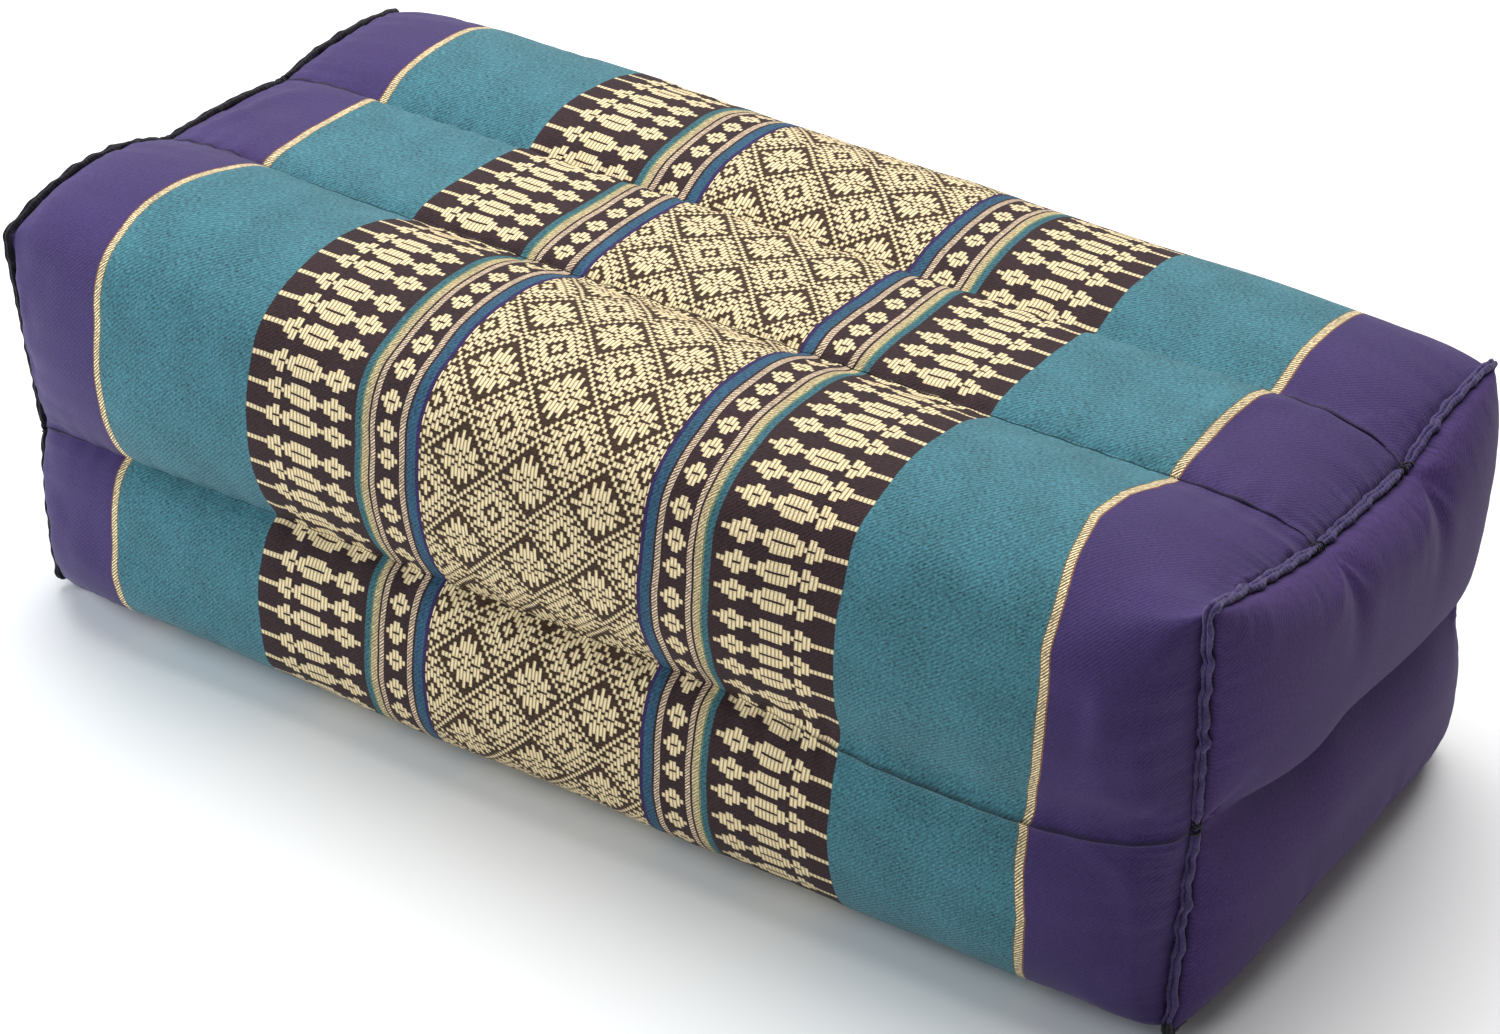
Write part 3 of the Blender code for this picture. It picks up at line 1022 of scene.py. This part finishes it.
def star_masks():
    """One number for each column of the star chart."""
    columns = range(len(STAR_CHART[0]))
    return [row_mask([row for row, line in enumerate(STAR_CHART) if line[k] == "X"]) for k in columns]


def chart_node(graph, column, masks):
    """Looks up a column's number, as a whole number with a half added."""
    place = graph.math("/", graph.math("+", column, 0.5), float(len(masks)))
    stops = [(k / len(masks), (mask, mask, mask)) for k, mask in enumerate(masks)]
    split = graph.nodes.new("ShaderNodeSeparateColor")
    graph.links.new(graph.steps(place, stops), split.inputs[0])
    return graph.math("*", split.outputs[0], 65536.0)


def floats(graph, x, v):
    """Where the cream yarn floats on top, how far across its yarn, and how far to its end."""
    m = graph.math
    turn = m("PINGPONG", m("/", x, STAR_COLUMN), 10.0)
    star_column = m("FLOOR", m("+", turn, 0.5))
    star_across = m("-", turn, star_column)
    bands = [(star_masks(), star_column, star_across, m("<", x, PANEL_END))]
    for chart, start, width in ((LANTERN_CHART, LANTERN_START, LANTERN_WIDTH),
                                (FLOWER_CHART, FLOWER_START, FLOWER_WIDTH)):
        place = m("*", m("-", x, start), len(chart) / width)
        column = m("FLOOR", place)
        across = m("-", m("-", place, column), 0.5)
        inside = graph.between(x, start, start + width)
        bands.append((chart_masks(chart), column, across, inside))
    mask = across = 0.0
    for numbers, column, offset, inside in bands:
        mask = m("+", mask, m("*", chart_node(graph, column, numbers), inside))
        across = m("+", across, m("*", offset, inside))
    half = ROWS / 2
    turn = m("PINGPONG", m("/", v, REPEAT / ROWS), half)
    row = m("FLOOR", m("+", turn, 0.5))
    offset = m("-", turn, row)

    def bit(shift):
        """Whether the yarn floats over the row so many rows on."""
        power = m("POWER", 2.0, m("+", row, 2.0 + shift))
        return m("FLOORED_MODULO", m("FLOOR", m("/", mask, power)), 2.0)

    here = bit(0)
    over = 0.0
    reaches = []
    for hand in (1, -1):
        beside, beyond = bit(hand), bit(2 * hand)
        reach = m("+", 0.10, m("*", beyond, 0.13))
        ahead = m("*", offset, float(hand))
        reaches.append(m("*", beside, m(">", ahead, m("-", 0.5, reach))))
        over = m("+", over, m("*", m("-", 1.0, beside), m(">", ahead, 0.30)))
    shown = m("MAXIMUM", here, m("MAXIMUM", *reaches))
    width = m("ABSOLUTE", across)
    return shown, width, m("MINIMUM", over, 1.0)


def wrap_material():
    """The patterned cloth: bands across it, ribbed ground, twill lines and cream floats."""
    graph = Graph("wrap_cloth_woven", 0.80, 0.17)
    m = graph.math
    u, v = graph.cloth_place()
    flat = graph.point(u, v)
    warp = m("-", graph.noise(flat, 22.0, 1.0), 0.5)
    sway = m("-", graph.noise(graph.point(v, u, 7.0), 17.0, 1.0), 0.5)
    u_here = m("+", u, m("*", warp, 1.8))
    v_here = m("+", v, m("*", sway, 1.6))
    x = m("ABSOLUTE", u_here)

    near, far = graph.stripes(x, NEAR_STRIPES, 24.0), graph.stripes(x, FAR_STRIPES, 8.0)
    plain = m(">", x, TEAL_START)
    ground = graph.blend(plain, near, far)

    lines = 0.0
    for low, high in TWILL_LINES:
        lines = m("MAXIMUM", lines, graph.between(x, low, high))
    slant = m("-", v_here, m("*", u_here, TWILL_SLANT))
    tick = m("SINE", m("*", slant, 2 * math.pi / TWILL_PITCH))
    gap = m("*", m("MINIMUM", m("-", 0.35, tick), 0.95), lines)
    gap = m("*", gap, m("-", 1.0, m("*", graph.between(x, *GOLD_LINE), 0.35)))
    strength = m("-", 1.25, m("*", m(">", x, PURPLE_START), 0.62))
    tone, relief = graph.cotton(u, v, strength)
    ground = graph.scaled(ground, tone)
    ground = graph.blend(m("MAXIMUM", gap, 0.0), ground, LINE_GAP)

    graph.put(graph.shader.inputs["Sheen Weight"], m("+", m("*", plain, 0.07), 0.04))
    shown, width, at_end = floats(graph, x, v_here)
    # Painted shade on the cream floats: darker towards the sides of each yarn and at its ends, as light
    # falls on a round yarn
    side = m("POWER", m("*", width, 2.0), 2.2)
    painted_float_shade = m("MAXIMUM", side, m("*", at_end, 0.30))
    age = graph.noise(graph.point(m("*", u, 2.0), v), 2.6)
    yarn = graph.blend(m("*", age, 0.30), CREAM, PALE_PINK)
    yarn = graph.blend(m("*", painted_float_shade, 0.85), yarn, CREAM_PAINTED_SHADE)
    colour = graph.blend(shown, ground, yarn)
    # Painted shade along the creases: the cloth darkens towards each crease line, for the groove's shadow
    # and in part its stitching thread
    sewn = m("MAXIMUM", m("-", 1.0, m("/", graph.kept("gap"), CREASE_SHADE_REACH)), 0.0)
    colour = graph.scaled(colour, m("-", 1.0, m("*", sewn, 0.75)))

    lift = m("*", shown, m("-", 1.0, m("*", painted_float_shade, 0.7)))
    height = m("*", lift, 0.30)
    height = m("+", height, m("*", m("*", tick, lines), 0.07))
    height = m("+", height, m("*", lines, 0.10))
    pucker = graph.noise(graph.point(m("*", u, 0.20), v, 3.0), 3.4, 1.0)
    near_seam = m("SMOOTH_MAX", m("/", m("-", x, 162.0), 14.0), 0.0, 0.3)
    height = m("+", height, m("*", m("*", pucker, near_seam), 0.8))
    return graph.finish(colour, m("+", height, relief))


def plain_cloth(name, colour):
    """Plain cotton, as beside the pattern."""
    graph = Graph(name, 0.86, 0.06)
    tone, relief = graph.cotton(*graph.cloth_place(), 0.6)
    return graph.finish(graph.scaled(colour, tone), relief)


def edging_material(name, colour, painted_shadow_colour):
    """The rolled cloth edge with its overcast thread, with painted shadow on its low part under the
    cushion.
    """
    graph = Graph(name, 0.86, 0.2)
    m = graph.math
    place = graph.scaled(graph.nodes.new("ShaderNodeTexCoord").outputs["Object"], 1000.0)
    x, y, z = graph.parts(place)
    wind = m("SINE", m("*", m("+", m("+", x, y), z), 2 * math.pi / 1.5))
    rough = graph.noise(place, 1.0, 3.0)
    tone = m("+", m("+", 0.30, m("*", wind, 0.06)), m("*", rough, 1.4))
    height = m("+", m("*", wind, 0.03), m("*", rough, 0.25))
    # Painted shadow: below about 9.5 mm up, the edge turns to the shadow colour, where it runs under the
    # cushion
    low = m("<", m("+", z, m("*", rough, 3.0)), 9.5)
    return graph.finish(graph.scaled(graph.blend(low, colour, painted_shadow_colour), tone), height)


# The pieces

def build_wrap(material):
    """The stuffed wrap, sewn into six tubes."""
    mesh, sewn, on_crease = build_wrap_mesh()
    piece = new_object("cushion_wrap", mesh, material)
    stuff(piece, sewn)
    remove_end_faces(piece.data)
    refine(piece, on_crease)
    gather_wrap(piece)
    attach(piece, "root")
    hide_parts("cushion_body")
    return piece


# Stage, light and camera

def add_camera():
    """The camera at the photograph's angle."""
    turn, rise, roll = (math.radians(a) for a in (CAMERA_TURN, CAMERA_RISE, CAMERA_ROLL))
    back = Vector((math.sin(turn) * math.cos(rise), -math.cos(turn) * math.cos(rise), math.sin(rise)))
    right = Vector((math.cos(turn), math.sin(turn), 0))
    up = back.cross(right)
    tilted_right = right * math.cos(roll) + up * math.sin(roll)
    tilted_up = up * math.cos(roll) - right * math.sin(roll)
    data = bpy.data.cameras.new("camera")
    data.lens, data.sensor_width = CAMERA_LENS, CAMERA_SENSOR
    data.clip_start, data.clip_end = 0.05, 50
    camera = put_in_scene("camera", data)
    matrix = Matrix((tilted_right, tilted_up, back)).transposed().to_4x4()
    matrix.translation = Vector(CAMERA_TARGET) + back * CAMERA_DISTANCE
    camera.matrix_world = matrix
    bpy.context.scene.camera = camera


def add_area_light(name, place, target, size, power, colour):
    """A square soft light that faces a point."""
    data = bpy.data.lights.new(name, "AREA")
    data.size, data.energy, data.color = size, power, colour
    light = put_in_scene(name, data)
    light.location = place
    light.rotation_euler = (Vector(target) - Vector(place)).to_track_quat("-Z", "Y").to_euler()


def add_stage():
    """A plain pale floor, soft overhead light and an even surround."""
    mesh = bpy.data.meshes.new("floor")
    reach = 6.0
    low = -0.0006
    corners = [(x * reach, y * reach, low) for x, y in ((-1, -1), (1, -1), (1, 1), (-1, 1))]
    mesh.from_pydata(corners, [], [(0, 1, 2, 3)])
    paper = bpy.data.materials.new("floor_paper")
    paper.use_nodes = True
    shader = paper.node_tree.nodes["Principled BSDF"]
    shader.inputs["Base Color"].default_value = (0.9, 0.9, 0.9, 1)
    shader.inputs["Roughness"].default_value = 0.9
    shader.inputs["Specular IOR Level"].default_value = 0.0
    floor = new_object("floor", mesh, paper)
    world = bpy.data.worlds.new("surround")
    world.use_nodes = True
    background = world.node_tree.nodes["Background"]
    background.inputs["Color"].default_value = (1, 0.98, 0.95, 1)
    background.inputs["Strength"].default_value = 0.18
    bpy.context.scene.world = world
    add_area_light("key", (-0.25, 0.50, 1.60), (0, 0, 0.05), 1.8, 47, (1, 1, 1))
    add_area_light("front", (-0.80, -0.62, 0.50), (-0.05, -0.05, 0.05), 0.5, 7.5, (0.9, 1, 1.08))
    bpy.context.scene.view_settings.view_transform = "Standard"


def main():
    wrap_cloth = wrap_material()
    end_cloth = plain_cloth("end_cloth_purple", END_PURPLE)
    build_wrap(wrap_cloth)
    for side in SIDES:
        build_panel(side, end_cloth)
    dark = edging_material("edging_dark", EDGE_DARK, EDGE_DARK)
    # On the right edging, EDGE_DARK is painted shadow along the bottom of the seam
    build_seam("right", edging_material("edging_purple", EDGE_PURPLE, EDGE_DARK))
    build_seam("left", dark)
    for side in SIDES:
        build_knots(side, dark)
    add_stage()
    add_camera()


main()
